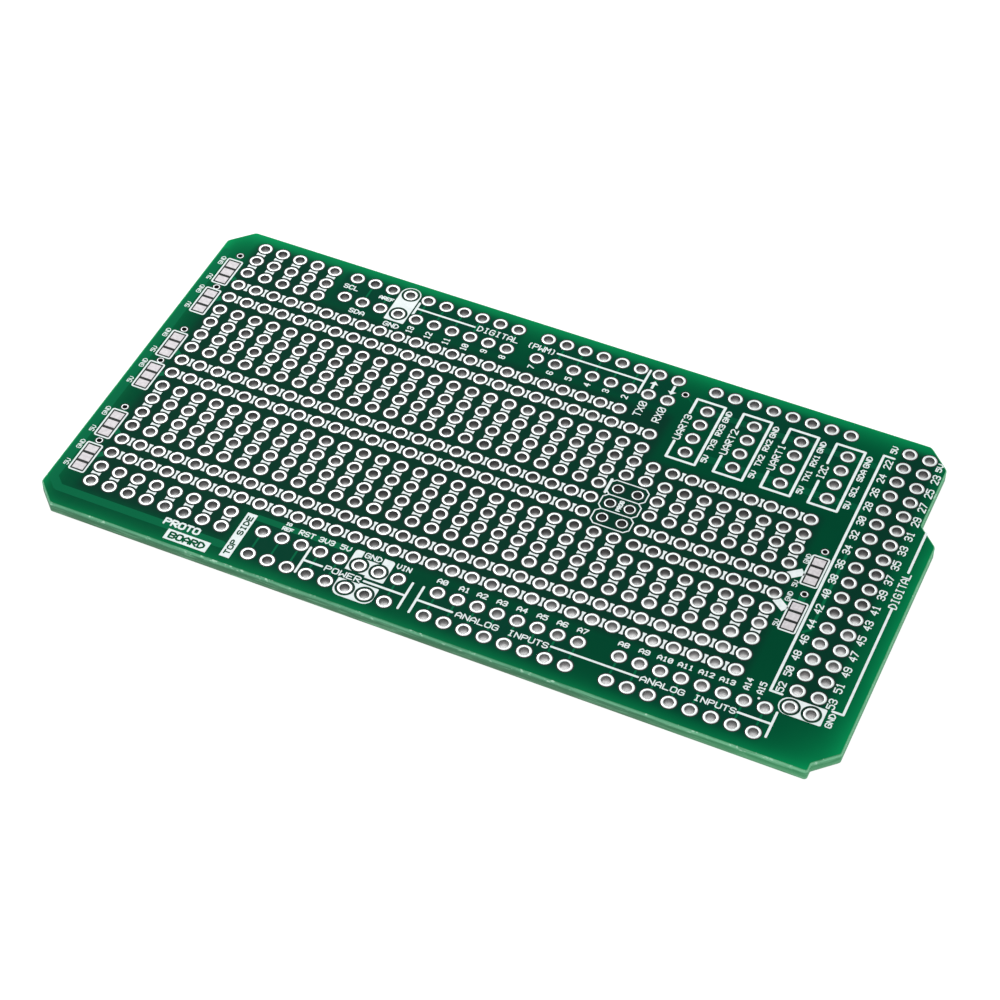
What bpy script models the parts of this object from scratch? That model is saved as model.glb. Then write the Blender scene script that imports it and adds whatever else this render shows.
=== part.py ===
"""Bare prototyping board for a large microcontroller board: every layer piece as its own solid.

The board lies flat with its component side up.  The origin is the middle of the underside,
+X runs along the long side towards the double-row header, +Y towards the digital headers.
Sizes below are millimetres.  Positions on the board are (column, row) in hole pitches: column 0
is the left edge, and row 0 lies a little above the lower edge, so that pads have whole rows.
"""
import math

import bmesh
import bpy
from mathutils import Vector
from mathutils.geometry import delaunay_2d_cdt

# ---------------------------------------------------------------- driving dimensions (mm)
MM = 0.001
PITCH = 2.54
BOARD_LENGTH = 40.0 * PITCH
BOARD_WIDTH = 21.0 * PITCH
ROW_ZERO = 0.06 * PITCH
BOARD_THICKNESS = 1.6
COPPER_THICKNESS = 0.035
MASK_THICKNESS = 0.020
INK_THICKNESS = 0.015
LAYER_GAP = 0.005

HOLE_DIAMETER = 1.20
PAD_DIAMETER = 1.90
ICSP_HOLE_DIAMETER = 1.10
ICSP_PAD_DIAMETER = 1.50
VIA_HOLE_DIAMETER = 0.60
VIA_PAD_DIAMETER = 0.95
HOLE_SIDES = 6

STRIP_WIDTH = 1.90
LAND_CORNER = 0.50
NECK_WIDTH = 0.30
WINDOW_MARGIN = 1.15

JUMPER_PAD_WIDTH = 1.52
JUMPER_PAD_HEIGHT = 1.17
JUMPER_PAD_PITCH = 1.52
JUMPER_CLEARANCE = 0.08
JUMPER_FRAME_WIDTH = 2.22
JUMPER_FRAME_HEIGHT = 5.00
JUMPER_FRAME_LINE = 0.20

CONNECTOR_FRAME_WIDTH = 3.90
CONNECTOR_FRAME_HEIGHT = 10.70
CONNECTOR_FRAME_LINE = 0.32

# heights of the layers' faces above the underside
CORE_TOP = BOARD_THICKNESS - COPPER_THICKNESS - LAYER_GAP
COPPER_BOTTOM = CORE_TOP + LAYER_GAP
MASK_TOP = COPPER_BOTTOM + MASK_THICKNESS
INK_BOTTOM = MASK_TOP + LAYER_GAP / 2
INK_TOP = INK_BOTTOM + INK_THICKNESS / 2

# ---------------------------------------------------------------- layout (hole pitches)
# columns of the prototyping grid start this far from the left edge
GRID_LEFT = 2.11

# outline, counter-clockwise from the lower left chamfer: point and corner radius in mm
OUTLINE = (
    ((1.07, -0.06), 0.3),
    ((38.95, -0.06), 0.4),
    ((38.95, 0.44), 0.3),
    ((40.00, 1.46), 0.6),
    ((40.00, 14.79), 1.0),
    ((39.00, 15.79), 0.6),
    ((39.00, 19.75), 1.0),
    ((37.85, 20.94), 0.8),
    ((1.08, 20.94), 0.8),
    ((0.00, 19.82), 0.8),
    ((0.00, 1.00), 0.8),
)

# header rows and connectors: name, first pad (x, y), columns, rows
PLATED_GROUPS = (
    ("lands_digital_8_to_13_edge", (7.41, 20.0), 10, 1),
    ("lands_digital_8_to_13_inner", (7.41, 18.5), 10, 1),
    ("lands_digital_0_to_7_edge", (18.05, 20.0), 8, 1),
    ("lands_digital_0_to_7_inner", (18.05, 18.5), 8, 1),
    ("lands_communication", (27.05, 20.0), 8, 1),
    ("lands_double_row_even", (37.04, 20.0), 1, 18),
    ("lands_double_row_odd", (38.04, 20.0), 1, 18),
    ("lands_power_edge", (11.05, 1.0), 8, 1),
    ("lands_power_inner", (11.05, 2.5), 8, 1),
    ("lands_analog_0_to_7_edge", (20.05, 1.0), 8, 1),
    ("lands_analog_0_to_7_inner", (20.05, 2.5), 8, 1),
    ("lands_analog_8_to_15_edge", (29.05, 1.0), 8, 1),
    ("lands_analog_8_to_15_inner", (29.05, 2.5), 8, 1),
    ("lands_uart3", (27.12, 18.60), 1, 4),
    ("lands_uart2", (29.56, 18.60), 1, 4),
    ("lands_uart1", (31.99, 18.60), 1, 4),
    ("lands_i2c", (34.36, 18.60), 1, 4),
)
ICSP_GROUP = ("lands_icsp", (GRID_LEFT + 23, 12.0), 2, 3)

# horizontal rails of the grid: name, row, first column, number of columns
RAILS = (
    ("rail_top_outer", 17, 0, 22),
    ("rail_top_inner", 16, 0, 24),
    ("rail_middle_upper", 11, 0, 23),
    ("rail_middle_lower", 10, 0, 23),
    ("rail_bottom_upper", 5, 0, 33),
    ("rail_bottom_lower", 4, 0, 33),
    ("rail_right_top", 14, 25, 8),
    ("rail_right_upper", 10, 25, 8),
    ("rail_right_lower", 9, 25, 8),
)

# blocks of column strips: name, row of the neck, (first column, columns, top row, bottom row)
STRIP_BLOCKS = (
    ("strips_top_left", 19.5, ((0, 5, 20, 18),)),
    ("strips_upper", 13.5, ((0, 23, 15, 12), (23, 1, 15, 13), (24, 1, 14, 13))),
    ("strips_lower", 7.5, ((0, 25, 9, 6),)),
    ("strips_right_upper", 12.5, ((25, 8, 13, 11),)),
    ("strips_right_lower", 7.5, ((25, 8, 8, 6),)),
    ("strips_bottom_left", 2.5, ((0, 8, 3, 2),)),
)

# three-pad solder jumpers: name, centre of the middle pad
JUMPERS = (
    ("top_outer", (1.13, 17.62)),
    ("top_inner", (1.13, 15.25)),
    ("middle_upper", (1.13, 11.74)),
    ("middle_lower", (1.13, 9.35)),
    ("bottom_upper", (1.13, 5.68)),
    ("bottom_lower", (1.13, 3.22)),
    ("right_upper", (35.37, 10.99)),
    ("right_lower", (35.37, 8.00)),
)
VIAS = (
    (1.17, 18.98), (1.17, 16.40), (1.17, 12.97), (1.17, 10.52), (1.17, 6.95), (1.17, 4.45),
    (35.40, 12.34), (35.40, 9.48), (25.71, 19.24),
)

# printed frames round the four-pin connectors
CONNECTOR_FRAMES = (
    ("frame_uart3", (27.10, 17.09)),
    ("frame_uart2", (29.53, 17.09)),
    ("frame_uart1", (31.95, 17.09)),
    ("frame_i2c", (34.33, 17.09)),
)

MATERIALS = {
    "laminate": ((0.52, 0.60, 0.42), 0.65, 0.0),
    "mask": ((0.0, 0.075, 0.032), 0.30, 0.0),
    "tin": ((0.80, 0.80, 0.80), 0.32, 1.0),
    "copper_strip": ((0.78, 0.78, 0.76), 0.38, 1.0),
    "ink": ((0.88, 0.90, 0.88), 0.60, 0.0),
}


# ---------------------------------------------------------------- small helpers
def board_point(column, row):
    """Millimetres in the model's frame of a place given in pitches."""
    return Vector((column * PITCH - BOARD_LENGTH / 2, row * PITCH + ROW_ZERO - BOARD_WIDTH / 2))


def hole(centre, diameter):
    """Regular polygon with the area of the round hole that it stands for."""
    turn = 2 * math.pi / HOLE_SIDES
    radius = diameter / 2 * math.sqrt(turn / math.sin(turn))
    return [
        centre + Vector((radius * math.cos(turn * (i + 0.5)), radius * math.sin(turn * (i + 0.5))))
        for i in range(HOLE_SIDES)
    ]


def rectangle(low, high):
    return [Vector((low.x, low.y)), Vector((high.x, low.y)), Vector((high.x, high.y)), Vector((low.x, high.y))]


def chamfered(low, high, cut):
    """Rectangle whose four corners are cut off at 45 degrees."""
    return [
        Vector((low.x + cut, low.y)), Vector((high.x - cut, low.y)),
        Vector((high.x, low.y + cut)), Vector((high.x, high.y - cut)),
        Vector((high.x - cut, high.y)), Vector((low.x + cut, high.y)),
        Vector((low.x, high.y - cut)), Vector((low.x, low.y + cut)),
    ]


def rounded(points_and_radii, steps=3):
    """Closed outline with each corner replaced by an arc of its own radius."""
    points = [board_point(*point) for point, _ in points_and_radii]
    outline = []
    for i, (_, radius) in enumerate(points_and_radii):
        corner = points[i]
        back = (points[i - 1] - corner).normalized()
        ahead = (points[(i + 1) % len(points)] - corner).normalized()
        half = back.angle(ahead) / 2
        start = corner + back * radius / math.tan(half)
        end = corner + ahead * radius / math.tan(half)
        centre = corner + (back + ahead).normalized() * radius / math.sin(half)
        for step in range(steps + 1):
            spoke = (start - centre).lerp(end - centre, step / steps)
            outline.append(centre + spoke.normalized() * radius)
    return outline


def add_plate(bm, outer, holes, low, high):
    """Closed flat plate of the outline, with its holes, between two heights."""
    loops = [outer] + list(holes)
    points = [point for loop in loops for point in loop]
    numbered = []
    for loop in loops:
        first = numbered[-1][-1] + 1 if numbered else 0
        numbered.append(list(range(first, first + len(loop))))
    found, _, faces, _, _, sources = delaunay_2d_cdt(points, [], numbered, 1, 1e-6)
    kept = [face for face, source in zip(faces, sources) if list(source) == [0]]
    bottom = [bm.verts.new((point.x * MM, point.y * MM, low * MM)) for point in found]
    top = [bm.verts.new((point.x * MM, point.y * MM, high * MM)) for point in found]
    used = set()
    for face in kept:
        bm.faces.new([top[i] for i in face])
        bm.faces.new([bottom[i] for i in reversed(face)])
        used.update(zip(face, face[1:] + face[:1]))
    for start, end in used:
        if (end, start) not in used:
            bm.faces.new((bottom[start], bottom[end], top[end], top[start]))
    bmesh.ops.delete(bm, geom=[v for v in bottom + top if not v.link_faces], context='VERTS')


def make_material(name):
    colour, roughness, metallic = MATERIALS[name]
    material = bpy.data.materials.new(name)
    material.use_nodes = True
    shader = material.node_tree.nodes["Principled BSDF"]
    shader.inputs["Base Color"].default_value = (*colour, 1.0)
    shader.inputs["Roughness"].default_value = roughness
    shader.inputs["Metallic"].default_value = metallic
    material.diffuse_color = (*colour, 1.0)
    return material


def add_piece(name, material, plate, anchor, low, high, parent):
    """One named flat solid; its origin is the anchor on its underside."""
    outer, holes = plate
    bm = bmesh.new()
    shifted_holes = [[point - anchor for point in hole] for hole in holes]
    add_plate(bm, [point - anchor for point in outer], shifted_holes, 0.0, high - low)
    mesh = bpy.data.meshes.new(name)
    bm.to_mesh(mesh)
    bm.free()
    mesh.materials.append(material)
    piece = bpy.data.objects.new(name, mesh)
    bpy.context.scene.collection.objects.link(piece)
    piece.location = (anchor.x * MM, anchor.y * MM, low * MM)
    piece.parent = parent
    return piece


def add_copper(name, material, plate, anchor, parent):
    """Piece that fills the copper layer's height, up to the board's full thickness."""
    return add_piece(name, material, plate, anchor, COPPER_BOTTOM, BOARD_THICKNESS, parent)


# ---------------------------------------------------------------- layout read as points
def pad_centres(first, columns, rows):
    x, y = first
    return [board_point(x + i, y - j) for j in range(rows) for i in range(columns)]


def group_outline(first, columns, rows, margin, cut=0.0):
    """Rectangle, or chamfered rectangle, that stands off a group of pad centres by the margin."""
    x, y = first
    stand_off = Vector((margin, margin))
    low = board_point(x, y - (rows - 1)) - stand_off
    high = board_point(x + columns - 1, y) + stand_off
    return chamfered(low, high, cut) if cut else rectangle(low, high)


def strip_spans(blocks):
    """Low and high corner of every strip of a block, from left to right."""
    half = Vector((STRIP_WIDTH / 2, STRIP_WIDTH / 2))
    spans = []
    for column, count, top_row, bottom_row in blocks:
        for i in range(count):
            low = board_point(GRID_LEFT + column + i, bottom_row) - half
            high = board_point(GRID_LEFT + column + i, top_row) + half
            spans.append((low, high))
    return spans


def comb(spans, neck_row):
    """Outline of side-by-side strips that one narrow neck runs across."""
    neck = board_point(0, neck_row).y
    last = len(spans) - 1
    along_bottom = []
    along_top = []
    for i, (low, high) in enumerate(spans):
        if i > 0:
            along_bottom.append(Vector((low.x, neck - NECK_WIDTH / 2)))
            along_top.append(Vector((low.x, neck + NECK_WIDTH / 2)))
        along_bottom += [Vector((low.x, low.y)), Vector((high.x, low.y))]
        along_top += [Vector((low.x, high.y)), Vector((high.x, high.y))]
        if i < last:
            along_bottom.append(Vector((high.x, neck - NECK_WIDTH / 2)))
            along_top.append(Vector((high.x, neck + NECK_WIDTH / 2)))
    return along_bottom + along_top[::-1]


def jumper_outline(centre):
    """Three pads in a column, joined by a narrow neck down the middle."""
    middle = board_point(*centre)
    neck = NECK_WIDTH / 2
    half = Vector((JUMPER_PAD_WIDTH / 2, JUMPER_PAD_HEIGHT / 2))
    right_side = []
    for step in (-1, 0, 1):
        place = middle + Vector((0, JUMPER_PAD_PITCH * step))
        if step > -1:
            right_side.append(place + Vector((neck, -half.y)))
        right_side += [place + Vector((half.x, -half.y)), place + half]
        if step < 1:
            right_side.append(place + Vector((neck, half.y)))
    left_side = [Vector((2 * middle.x - point.x, point.y)) for point in reversed(right_side)]
    return right_side + left_side


def frame_plate(centre, width, height, line):
    """Hollow rectangle, as outline and opening."""
    middle = board_point(*centre)
    outer_half = Vector((width / 2, height / 2))
    inner_half = outer_half - Vector((line, line))
    outer = rectangle(middle - outer_half, middle + outer_half)
    return outer, [rectangle(middle - inner_half, middle + inner_half)]


# ---------------------------------------------------------------- pieces
def build_core(materials, parent):
    """Glass-epoxy laminate with the holes of every header, connector and via."""
    holes = [hole(board_point(*via), VIA_HOLE_DIAMETER) for via in VIAS]
    for _, first, columns, rows in PLATED_GROUPS:
        holes += [hole(c, HOLE_DIAMETER) for c in pad_centres(first, columns, rows)]
    _, first, columns, rows = ICSP_GROUP
    holes += [hole(c, ICSP_HOLE_DIAMETER) for c in pad_centres(first, columns, rows)]
    plate = (rounded(OUTLINE), holes)
    add_piece("fr4_core", materials["laminate"], plate, Vector((0, 0)), 0.0, CORE_TOP, parent)


def build_mask(materials, parent):
    """Green film on the upper face, open in one window over each group of pads."""
    groups = [(first, columns, rows) for _, first, columns, rows in PLATED_GROUPS + (ICSP_GROUP,)]
    groups += [((GRID_LEFT + column, row), count, 1) for _, row, column, count in RAILS]
    for _, _, blocks in STRIP_BLOCKS:
        for column, count, top_row, bottom_row in blocks:
            groups.append(((GRID_LEFT + column, top_row), count, top_row - bottom_row + 1))
    windows = [group_outline(*group, WINDOW_MARGIN) for group in groups]
    windows += [hole(board_point(*via), VIA_PAD_DIAMETER) for via in VIAS]
    for _, centre in JUMPERS:
        width = JUMPER_PAD_WIDTH + 2 * JUMPER_CLEARANCE
        height = 2 * JUMPER_PAD_PITCH + JUMPER_PAD_HEIGHT + 2 * JUMPER_CLEARANCE
        half = Vector((width / 2, height / 2))
        windows.append(rectangle(board_point(*centre) - half, board_point(*centre) + half))
    plate = (rounded(OUTLINE), windows)
    add_piece("solder_mask_top", materials["mask"], plate, Vector((0, 0)), COPPER_BOTTOM, MASK_TOP, parent)


def build_lands(materials, parent):
    """Tinned lands of the headers and connectors, one drilled strip for each row of pins."""
    for name, first, columns, rows in PLATED_GROUPS:
        outline = group_outline(first, columns, rows, PAD_DIAMETER / 2, LAND_CORNER)
        holes = [hole(c, HOLE_DIAMETER) for c in pad_centres(first, columns, rows)]
        add_copper(name, materials["tin"], (outline, holes), board_point(*first), parent)
    name, first, columns, rows = ICSP_GROUP
    outline = group_outline(first, columns, rows, ICSP_PAD_DIAMETER / 2, LAND_CORNER)
    holes = [hole(c, ICSP_HOLE_DIAMETER) for c in pad_centres(first, columns, rows)]
    add_copper(name, materials["tin"], (outline, holes), board_point(*first), parent)


def build_grid_copper(materials, parent):
    """Long rails and blocks of short column strips of the prototyping grid."""
    for name, row, column, count in RAILS:
        first = (GRID_LEFT + column, row)
        outline = group_outline(first, count, 1, STRIP_WIDTH / 2, LAND_CORNER)
        add_copper(name, materials["copper_strip"], (outline, []), board_point(*first), parent)
    for name, neck_row, blocks in STRIP_BLOCKS:
        outline = comb(strip_spans(blocks), neck_row)
        anchor = board_point(GRID_LEFT + blocks[0][0], blocks[0][2])
        add_copper(name, materials["copper_strip"], (outline, []), anchor, parent)


def build_jumpers(materials, parent):
    """Solder jumpers of three bare pads, each in its printed frame."""
    for name, centre in JUMPERS:
        anchor = board_point(*centre)
        add_copper("jumper_" + name, materials["tin"], (jumper_outline(centre), []), anchor, parent)
        frame = frame_plate(centre, JUMPER_FRAME_WIDTH, JUMPER_FRAME_HEIGHT, JUMPER_FRAME_LINE)
        add_piece("frame_jumper_" + name, materials["ink"], frame, anchor, INK_BOTTOM, INK_TOP, parent)


def build_connector_frames(materials, parent):
    for name, centre in CONNECTOR_FRAMES:
        frame = frame_plate(centre, CONNECTOR_FRAME_WIDTH, CONNECTOR_FRAME_HEIGHT, CONNECTOR_FRAME_LINE)
        add_piece(name, materials["ink"], frame, board_point(*centre), INK_BOTTOM, INK_TOP, parent)


def main():
    for item in list(bpy.data.objects):
        bpy.data.objects.remove(item, do_unlink=True)
    board = bpy.data.objects.new("board", None)
    bpy.context.scene.collection.objects.link(board)
    materials = {name: make_material(name) for name in MATERIALS}
    build_core(materials, board)
    build_mask(materials, board)
    build_lands(materials, board)
    build_grid_copper(materials, board)
    build_jumpers(materials, board)
    build_connector_frames(materials, board)


main()
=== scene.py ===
"""Looks of the bare prototyping board: mask, tinned eyelets, printed legend and cut laminate.

Places on the board are (column, row) in hole pitches: column 0 is its left edge, and row 0 lies
a little above its lower edge, so that most pads have whole rows.
Heights are millimetres above the underside.  Everything is laid out from the frame's box.
"""
import math

import bpy
import numpy as np
from mathutils import Matrix, Vector
from mathutils.geometry import delaunay_2d_cdt


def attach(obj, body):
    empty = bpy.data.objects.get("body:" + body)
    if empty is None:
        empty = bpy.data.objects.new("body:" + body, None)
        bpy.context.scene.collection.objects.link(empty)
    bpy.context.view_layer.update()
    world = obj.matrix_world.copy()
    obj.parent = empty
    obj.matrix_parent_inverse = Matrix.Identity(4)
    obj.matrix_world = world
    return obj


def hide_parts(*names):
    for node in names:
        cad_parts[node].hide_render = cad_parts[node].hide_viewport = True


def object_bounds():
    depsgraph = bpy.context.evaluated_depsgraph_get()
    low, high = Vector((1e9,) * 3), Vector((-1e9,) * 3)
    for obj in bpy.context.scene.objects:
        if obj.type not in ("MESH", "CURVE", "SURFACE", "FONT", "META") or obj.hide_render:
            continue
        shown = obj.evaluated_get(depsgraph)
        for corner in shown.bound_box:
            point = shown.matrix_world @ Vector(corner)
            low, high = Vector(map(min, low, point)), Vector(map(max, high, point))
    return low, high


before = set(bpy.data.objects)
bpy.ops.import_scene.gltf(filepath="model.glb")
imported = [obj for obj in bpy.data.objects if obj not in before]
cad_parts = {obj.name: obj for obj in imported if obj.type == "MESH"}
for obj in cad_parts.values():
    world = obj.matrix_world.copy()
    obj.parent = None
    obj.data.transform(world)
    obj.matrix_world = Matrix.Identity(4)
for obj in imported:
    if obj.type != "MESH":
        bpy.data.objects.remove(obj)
CAD_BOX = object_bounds()
CORNER = CAD_BOX[0]
MM = 0.001
PITCH = 2.54
# height of row 0 over the lower edge, in pitches
ROW_ZERO = 0.06
THICKNESS = (CAD_BOX[1].z - CAD_BOX[0].z) / MM

# ---- heights of the layers (mm)
COPPER_RELIEF = 0.007
MASK_FILM = 0.012
INK_FILM = 0.006
SOLDER_HEIGHT = 0.036
LAMINATE_TOP = THICKNESS - SOLDER_HEIGHT
LAMINATE_BOTTOM = SOLDER_HEIGHT
MASK_TOP = LAMINATE_TOP + MASK_FILM
BAND_TOP = MASK_TOP + COPPER_RELIEF
INK_TOP = BAND_TOP + INK_FILM
MASK_UNDER = LAMINATE_BOTTOM - MASK_FILM
BAND_UNDER = MASK_UNDER - COPPER_RELIEF
# layers overlap or stay apart by this much, so that no two faces coincide
HAIR = 0.001

# ---- round things (mm)
HOLE_RADIUS = 0.60
PAD_RADIUS = 0.92
ICSP_HOLE_RADIUS = 0.55
ICSP_PAD_RADIUS = 0.75
VIA_HOLE_RADIUS = 0.30
VIA_PAD_RADIUS = 0.465
PLATING = 0.02
MASK_OPENING = 0.13
INK_CLEARANCE = 1.16
ROUND_STEPS = 24
# relief of the solder on each pad, lowest and highest, as share of the full one
SOLDER_RELIEF = (0.55, 1.0)

# ---- layout (pitches)
# first column of the prototyping grid
GRID_LEFT = 2.11
# corners of the board, each with the radius of its rounding in mm
OUTLINE = (
    ((1.07, -0.06), 0.3), ((38.95, -0.06), 0.4), ((38.95, 0.44), 0.3), ((40.00, 1.46), 0.6),
    ((40.00, 14.79), 1.0), ((39.00, 15.79), 0.6), ((39.00, 19.75), 1.0), ((37.85, 20.94), 0.8),
    ((1.08, 20.94), 0.8), ((0.00, 19.82), 0.8), ((0.00, 1.00), 0.8),
)
# header rows: CAD node without lands_, first pad, columns, rows
HEADERS = (
    ("digital_8_to_13_edge", (7.41, 20.0), 10, 1),
    ("digital_8_to_13_inner", (7.41, 18.5), 10, 1),
    ("digital_0_to_7_edge", (18.05, 20.0), 8, 1),
    ("digital_0_to_7_inner", (18.05, 18.5), 8, 1),
    ("communication", (27.05, 20.0), 8, 1),
    ("double_row_even", (37.04, 20.0), 1, 18),
    ("double_row_odd", (38.04, 20.0), 1, 18),
    ("power_edge", (11.05, 1.0), 8, 1),
    ("power_inner", (11.05, 2.5), 8, 1),
    ("analog_0_to_7_edge", (20.05, 1.0), 8, 1),
    ("analog_0_to_7_inner", (20.05, 2.5), 8, 1),
    ("analog_8_to_15_edge", (29.05, 1.0), 8, 1),
    ("analog_8_to_15_inner", (29.05, 2.5), 8, 1),
    ("uart3", (27.12, 18.60), 1, 4),
    ("uart2", (29.56, 18.60), 1, 4),
    ("uart1", (31.99, 18.60), 1, 4),
    ("i2c", (34.36, 18.60), 1, 4),
)
ICSP = ("lands_icsp", (GRID_LEFT + 23, 12.0), 2, 3)
# grid rails: CAD node without rail_, row, first grid column, number of columns
RAILS = (
    ("top_outer", 17, 0, 22), ("top_inner", 16, 0, 24),
    ("middle_upper", 11, 0, 23), ("middle_lower", 10, 0, 23),
    ("bottom_upper", 5, 0, 33), ("bottom_lower", 4, 0, 33),
    ("right_top", 14, 25, 8), ("right_upper", 10, 25, 8), ("right_lower", 9, 25, 8),
)
# blocks of column strips: CAD node without strips_, (first grid column, columns, top and bottom row)
STRIPS = (
    ("top_left", ((0, 5, 20, 18),)),
    ("upper", ((0, 23, 15, 12), (23, 1, 15, 13), (24, 1, 14, 13))),
    ("lower", ((0, 25, 9, 6),)),
    ("right_upper", ((25, 8, 13, 11),)),
    ("right_lower", ((25, 8, 8, 6),)),
    ("bottom_left", ((0, 8, 3, 2),)),
)
# solder jumpers: name, centre, grid column and row of the pad that the middle pad feeds, and how
# far above and below the centre the two labels are
JUMPERS = (
    ("top_outer", (1.13, 17.62), (0, 17), (0.68, -0.66)),
    ("top_inner", (1.13, 15.25), (0, 16), (0.70, -0.60)),
    ("middle_upper", (1.13, 11.74), (0, 11), (0.68, -0.64)),
    ("middle_lower", (1.13, 9.35), (0, 10), (0.68, -0.62)),
    ("bottom_upper", (1.13, 5.68), (0, 5), (0.68, -0.64)),
    ("bottom_lower", (1.13, 3.22), (0, 4), (0.68, -0.62)),
    ("right_upper", (35.37, 10.99), (32, 10), (0.61, -1.07)),
    ("right_lower", (35.37, 8.00), (32, 9), (1.08, -0.65)),
)
# one solder pad, the step from pad to pad, the printed frame and the opening in the mask
JUMPER_PAD = (0.575, 0.45)
JUMPER_PAD_STEP = 0.60
JUMPER_FRAME = (0.88, 1.99)
JUMPER_WINDOW = (0.70, 1.78)
VIAS = (
    (1.17, 18.98), (1.17, 16.40), (1.17, 12.97), (1.17, 10.52), (1.17, 6.95), (1.17, 4.45),
    (35.40, 12.34), (35.40, 9.48), (25.71, 19.24),
)
# four-pin connectors: CAD frame, left and right edge, ends of the gap at the left, name, pin labels
CONNECTORS = (
    ("frame_uart3", 26.29, 27.90, (16.09, 18.16), "UART3", ("GND", "RX3", "TX3", "5V")),
    ("frame_uart2", 28.72, 30.32, (16.09, 18.16), "UART2", ("GND", "RX2", "TX2", "5V")),
    ("frame_uart1", 31.13, 32.74, (16.09, 18.16), "UART1", ("GND", "RX1", "TX1", "5V")),
    ("frame_i2c", 33.53, 35.11, (16.50, 17.79), "I2C", ("GND", "SDA", "SCL", "5V")),
)
CONNECTOR_TOP = 19.21
CONNECTOR_BOTTOM = 14.97

# ---- legend (pitches)
TEXT_STROKE = 0.060
# level lettering: text, column and row of the centre, length, height
LEVEL_TEXT = [
    ("SCL", 7.41, 19.27, 0.82, 0.33), ("SDA", 8.45, 17.75, 0.86, 0.33),
    ("AREF", 9.40, 19.25, 0.82, 0.27), ("GND", 10.43, 17.61, 0.86, 0.33),
    ("DIGITAL", 15.62, 19.24, 2.26, 0.40), ("(PWM)", 18.00, 19.24, 1.60, 0.41),
    ("POWER", 15.60, 1.71, 1.85, 0.36), ("ANALOG", 22.40, 1.71, 2.13, 0.36),
    ("INPUTS", 24.93, 1.71, 2.00, 0.36), ("ANALOG", 31.45, 1.75, 2.13, 0.36),
    ("INPUTS", 33.95, 1.75, 2.00, 0.36), ("IO", 11.96, 3.42, 0.32, 0.20),
    ("REF", 12.05, 3.10, 0.57, 0.25), ("RST", 13.02, 3.20, 0.82, 0.33),
    ("3V3", 14.05, 3.20, 0.82, 0.33), ("5V", 15.03, 3.20, 0.56, 0.33),
    ("GND", 16.47, 3.20, 0.87, 0.34), ("VIN", 18.03, 3.20, 0.75, 0.33),
]
# A1 stands a little to the right of its pin
LEVEL_TEXT += [("A%d" % i, 21.11 if i == 1 else 20.0 + i, 3.20, 0.53, 0.32) for i in range(8)]
LEVEL_TEXT += [
    ("A%d" % (8 + i), 29.0 + i, 3.23, 0.53 if i < 2 else 0.75, 0.31) for i in range(6)
]
# lettering that reads upwards, given in the same way
UPRIGHT_TEXT = [
    ("TX0", 24.03, 17.40, 1.08, 0.42), ("RX0", 25.03, 17.39, 1.08, 0.42),
    ("A14", 34.89, 3.46, 0.72, 0.33), ("A15", 35.53, 3.48, 0.72, 0.34),
    ("5V", 36.27, 19.96, 0.50, 0.34), ("5V", 38.62, 19.73, 0.57, 0.31),
    ("GND", 38.93, 3.00, 0.84, 0.33), ("DIGITAL", 39.34, 11.49, 2.32, 0.42),
    ("PROG", 25.61, 11.00, 0.72, 0.24),
]
UPRIGHT_TEXT += [(str(13 - i), 11.43 + i, 17.70, 0.48, 0.36) for i in range(4)]
UPRIGHT_TEXT += [(str(9 - i), 15.43 + i, 17.85, 0.23, 0.36) for i in range(2)]
UPRIGHT_TEXT += [(str(7 - i), 18.03 + i, 17.83, 0.24, 0.36) for i in range(6)]
UPRIGHT_TEXT += [(str(22 + 2 * i), 36.29, 18.91 - i, 0.60, 0.38) for i in range(16)]
UPRIGHT_TEXT += [(str(23 + 2 * i), 38.68, 18.91 - i, 0.62, 0.40) for i in range(16)]
# straight ink lines: column and row of both ends, width
LINES = (
    (11.11, 19.245, 14.32, 19.245, 0.11), (11.09, 18.80, 11.09, 19.68, 0.12),
    (18.86, 19.245, 23.50, 19.245, 0.11), (23.53, 18.41, 23.53, 20.09, 0.12),
    (35.92, 3.52, 35.92, 19.41, 0.13), (35.92, 19.41, 36.44, 19.41, 0.12),
    (35.92, 3.52, 36.48, 3.52, 0.12), (39.34, 12.73, 39.34, 15.44, 0.12),
    (39.34, 3.54, 39.34, 10.30, 0.12), (38.84, 3.54, 39.34, 3.54, 0.12),
    (13.54, 0.90, 13.54, 2.55, 0.12), (13.60, 1.72, 14.52, 1.72, 0.12),
    (16.68, 1.72, 18.73, 1.72, 0.12), (18.78, 0.90, 18.78, 2.55, 0.12),
    (19.34, 0.90, 19.34, 2.55, 0.12), (19.40, 1.72, 21.14, 1.72, 0.12),
    (26.05, 1.75, 30.27, 1.75, 0.11), (35.03, 1.75, 36.57, 1.75, 0.12),
    (36.63, 0.98, 36.63, 2.46, 0.12),
)

# stroke font on a grid 4 wide and 6 high: each word is one stroke, each pair of digits a point
GLYPHS = {
    "0": "100105163645413010 0145", "1": "152620 1030", "2": "05163645440040",
    "3": "05163645443313 334241301001", "4": "30360242", "5": "460604344341301001",
    "6": "4536160501103041423303", "7": "064610", "8": "13040516364544331302011030414233",
    "9": "0110304145361605041343", "A": "0004264440 0242", "B": "00063645443303 3342413000",
    "C": "4536160501103041", "D": "00062644422000", "E": "46060040 0333", "F": "460600 0333",
    "G": "45361605011030414323", "I": "1636 2620 1030", "L": "060040", "M": "0006234640",
    "N": "00064046", "O": "100105163645413010", "P": "00063645443303",
    "R": "00063645443303 1340", "S": "011030414233130405163645", "T": "0646 2620",
    "U": "060110304146", "V": "0602204246", "W": "0600234046", "X": "0046 0640",
    "(": "36252130", ")": "16252110", " ": "",
}
GLYPH_WIDTH = 4
GLYPH_GAP = 1.5
GLYPH_HEIGHT = 6


# ---- outlines (mm from the corner)
def at(column, row):
    return Vector((column * PITCH, (row + ROW_ZERO) * PITCH))


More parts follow.
